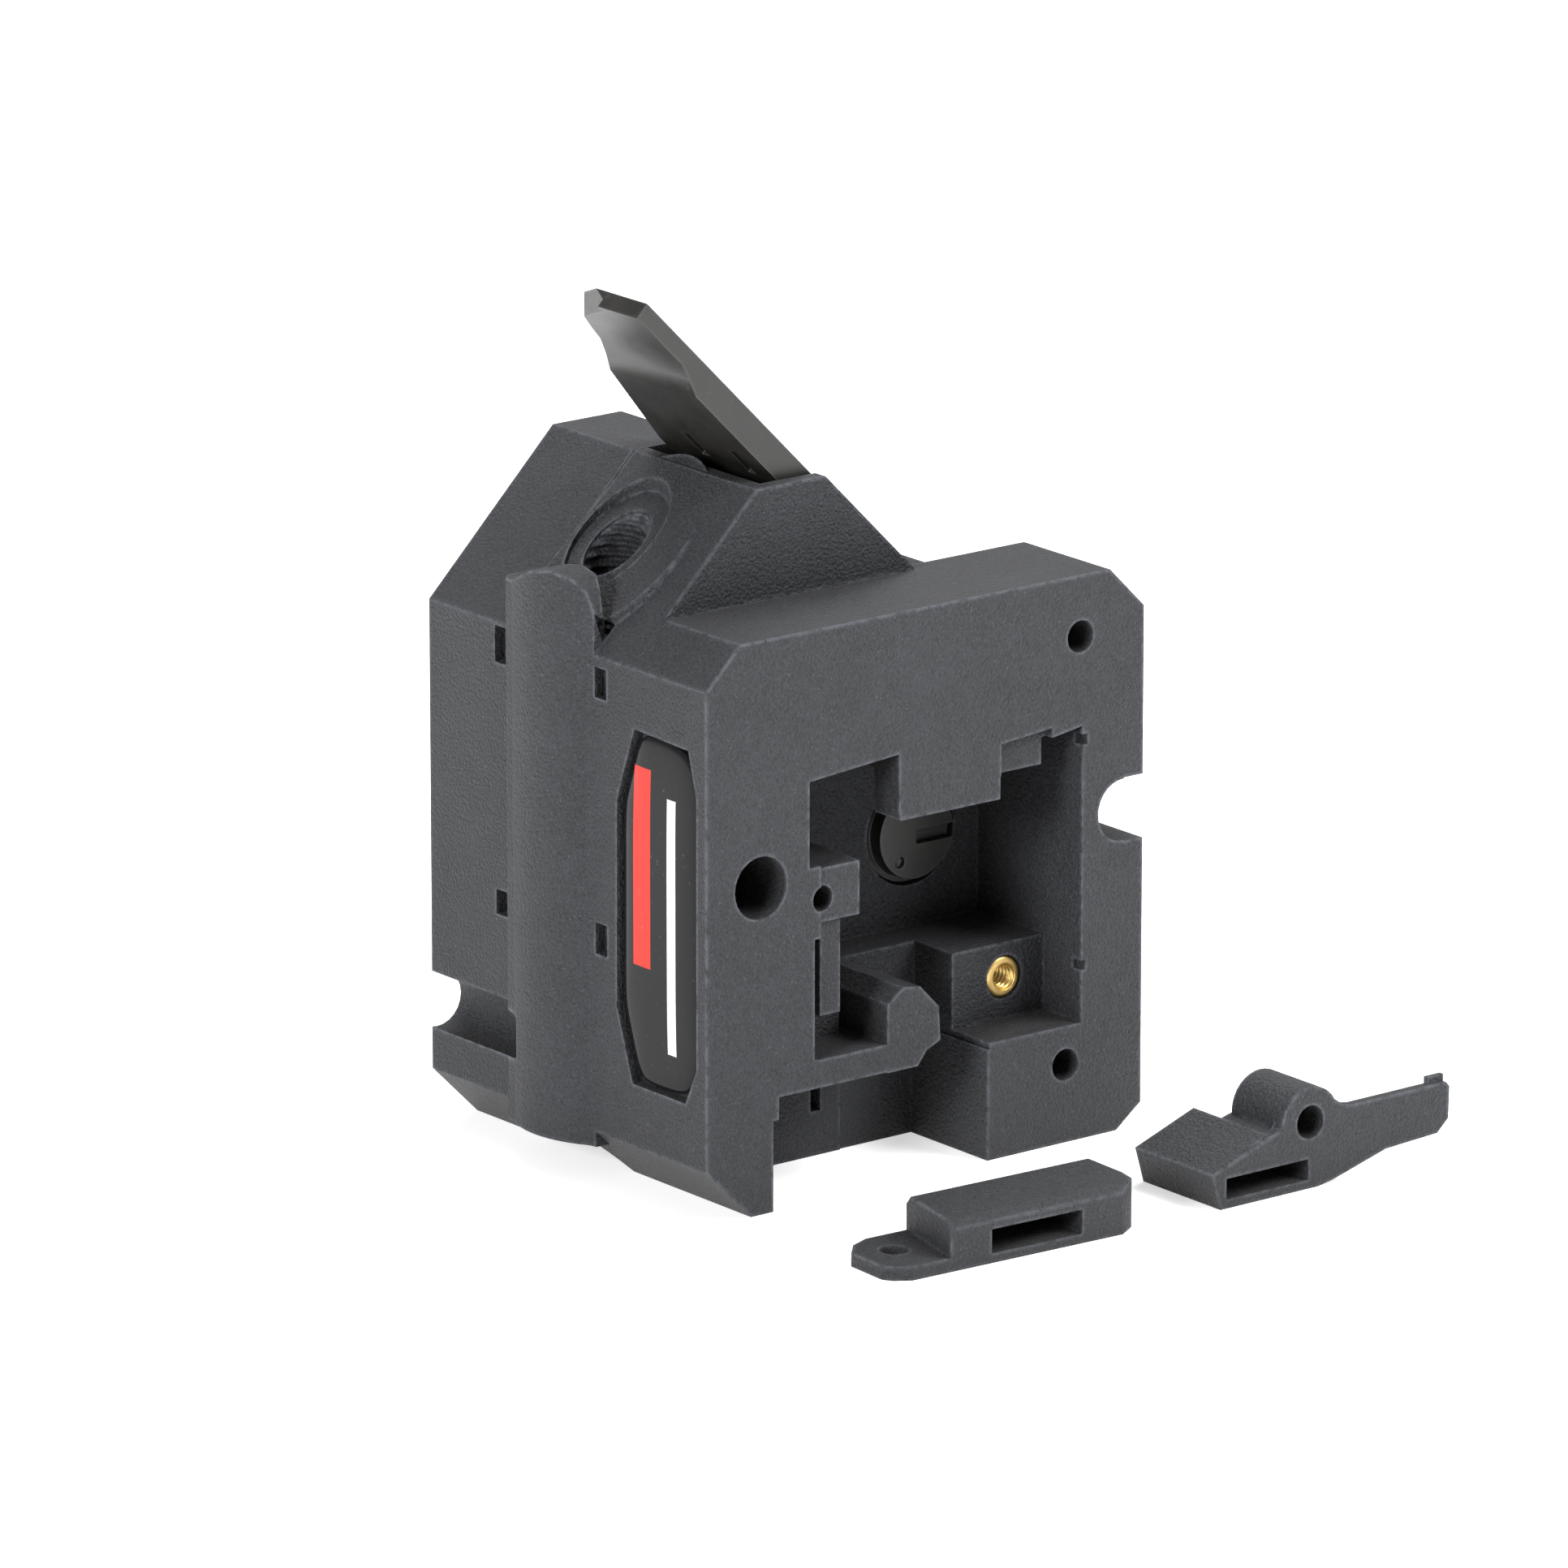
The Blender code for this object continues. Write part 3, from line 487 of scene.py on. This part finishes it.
class EXTRUDER_OT_metals(bpy.types.Operator):
    """Steel, black steel, brass and the plastic gear and tube"""
    bl_idname = "extruder.metals"
    bl_label = "Metal and gear finish"

    def execute(self, context):
        s = settings()
        paint(STEEL_NODES, metal_finish("ground_steel", (0.56, 0.57, 0.59), 0.22))
        paint(BLACK_STEEL_NODES, metal_finish("black_steel", (0.05, 0.05, 0.055), 0.34))
        paint(("threaded_insert",), metal_finish("insert_brass", tuple(s.brass_tint), 0.3))
        paint(("idler_bush",), metal_finish("bush_bronze", (0.6, 0.38, 0.17), 0.3))
        paint(("large_gear",), gear_plastic_finish("gear_plastic"))
        paint(("outlet_tube",), tube_finish("tube_plastic"))
        soften_edges("threaded_insert", 0.00008)
        return {"FINISHED"}


class EXTRUDER_OT_inlet_thread(bpy.types.Operator):
    """Cut thread inside the sloping inlet"""
    bl_idname = "extruder.inlet_thread"
    bl_label = "Inlet thread"

    def execute(self, context):
        s = settings()

        def mouth(a):
            return LIP_SLOPE * (INLET_CENTRE[0] + INLET_RADIUS * np.cos(a)) + LIP_HEIGHT

        ring = thread_ring("inlet_thread", INLET_CENTRE, INLET_RADIUS, 2.45, 3.04, s.inlet_pitch / MM, 52.1,
                           mouth)
        ring.data.materials.append(nylon_finish("inlet_nylon", tuple(s.nylon_tint), s.grain))
        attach(ring, "housing")
        return {"FINISHED"}


class EXTRUDER_OT_insert_thread(bpy.types.Operator):
    """Cut thread inside the brass insert"""
    bl_idname = "extruder.insert_thread"
    bl_label = "Insert thread"

    def execute(self, context):
        s = settings()

        def back(a):
            return np.full_like(a, 10.3)

        ring = thread_ring("insert_thread", INSERT_CENTRE, 1.235, 1.02, 1.245,
                           s.insert_pitch / MM, 5.75, back, turned_to_y=True)
        ring.data.materials.append(metal_finish("thread_brass", tuple(s.brass_tint), 0.28))
        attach(ring, "housing")
        return {"FINISHED"}


class EXTRUDER_OT_badge(bpy.types.Operator):
    """Domed badge with two plain stripes"""
    bl_idname = "extruder.badge"
    bl_label = "Side badge"

    def execute(self, context):
        s = settings()
        corners = [(10.25, 43.5), (5.6, 43.45), (2.9, 42.9), (1.75, 39.2), (1.8, 14.4),
                   (3.3, 11.3), (5.6, 11.05), (10.6, 11.1), (12.8, 17.6), (12.7, 36.6)]
        plate = dome_plate("badge_dome", corners, 1.12, 0.62, 0.12)
        plate.data.materials.append(badge_finish("badge_resin", (0.008, 0.008, 0.009),
                                                 tuple(s.badge_first), tuple(s.badge_second)))
        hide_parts("side_badge")
        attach(plate, "housing")
        return {"FINISHED"}


class EXTRUDER_OT_stage(bpy.types.Operator):
    """White floor, soft lights and the camera"""
    bl_idname = "extruder.stage"
    bl_label = "Studio"

    def execute(self, context):
        scene = context.scene
        reach = 3.0
        verts = np.array([[-reach, -reach, 0.0], [reach, -reach, 0.0], [reach, reach, 0.0],
                          [-reach, reach, 0.0]])
        floor = mesh_object("studio_floor", verts, np.array([[0, 1, 2, 3]]), False)
        floor.data.materials.append(studio_finish("studio_paper"))
        self.lamp("key_softbox", (0.42, -0.5, 0.62), 0.45, 8.5)
        self.lamp("top_softbox", (0.2, 0.25, 0.7), 0.5, 5.0)
        self.lamp("left_fill", (-0.8, -0.25, 0.3), 0.22, 7.0)
        world = bpy.data.worlds.new("studio_air")
        world.use_nodes = True
        world.node_tree.nodes["Background"].inputs["Color"].default_value = (1.0, 1.0, 1.0, 1.0)
        world.node_tree.nodes["Background"].inputs["Strength"].default_value = 0.3
        scene.world = world
        scene.view_settings.view_transform = "Standard"
        lens = bpy.data.cameras.new("studio_camera")
        lens.lens = CAMERA_LENS
        lens.sensor_width = 36.0
        lens.clip_start = 0.05
        lens.clip_end = 20.0
        camera = bpy.data.objects.new("studio_camera", lens)
        camera.location = CAMERA_PLACE
        camera.rotation_euler = (math.radians(90.0 - CAMERA_RISE), 0.0,
                                 math.radians(CAMERA_TURN))
        scene.collection.objects.link(camera)
        scene.camera = camera
        return {"FINISHED"}

    def lamp(self, name, spot, size, power):
        light = bpy.data.lights.new(name, "AREA")
        light.shape = "SQUARE"
        light.size = size
        light.energy = power
        made = bpy.data.objects.new(name, light)
        bpy.context.scene.collection.objects.link(made)
        made.location = spot
        aim = np.array([0.0, 0.0, 0.03]) - np.array(spot)
        flat = math.hypot(aim[0], aim[1])
        made.rotation_euler = (math.atan2(flat, -aim[2]), 0.0,
                               math.atan2(aim[1], aim[0]) - math.pi / 2)


OPERATORS = (EXTRUDER_OT_housing, EXTRUDER_OT_mouldings, EXTRUDER_OT_metals,
             EXTRUDER_OT_inlet_thread, EXTRUDER_OT_insert_thread, EXTRUDER_OT_badge,
             EXTRUDER_OT_stage)


class EXTRUDER_PT_panel(bpy.types.Panel):
    """Lists the settings and the pieces"""
    bl_idname = "EXTRUDER_PT_panel"
    bl_label = "Filament extruder"
    bl_space_type = "VIEW_3D"
    bl_region_type = "UI"
    bl_category = "Extruder"

    def draw(self, context):
        values = context.scene.extruder_settings
        for key in ExtruderSettings.__annotations__:
            self.layout.prop(values, key)
        for operator in OPERATORS:
            self.layout.operator(operator.bl_idname)


def register():
    for kind in (ExtruderSettings, *OPERATORS, EXTRUDER_PT_panel):
        bpy.utils.register_class(kind)
    bpy.types.Scene.extruder_settings = bpy.props.PointerProperty(type=ExtruderSettings)


def unregister():
    del bpy.types.Scene.extruder_settings
    for kind in (EXTRUDER_PT_panel, *reversed(OPERATORS), ExtruderSettings):
        bpy.utils.unregister_class(kind)


def main():
    register()
    bpy.ops.extruder.housing()
    bpy.ops.extruder.mouldings()
    bpy.ops.extruder.metals()
    bpy.ops.extruder.inlet_thread()
    bpy.ops.extruder.insert_thread()
    bpy.ops.extruder.badge()
    bpy.ops.extruder.stage()


if __name__ == "__main__":
    main()
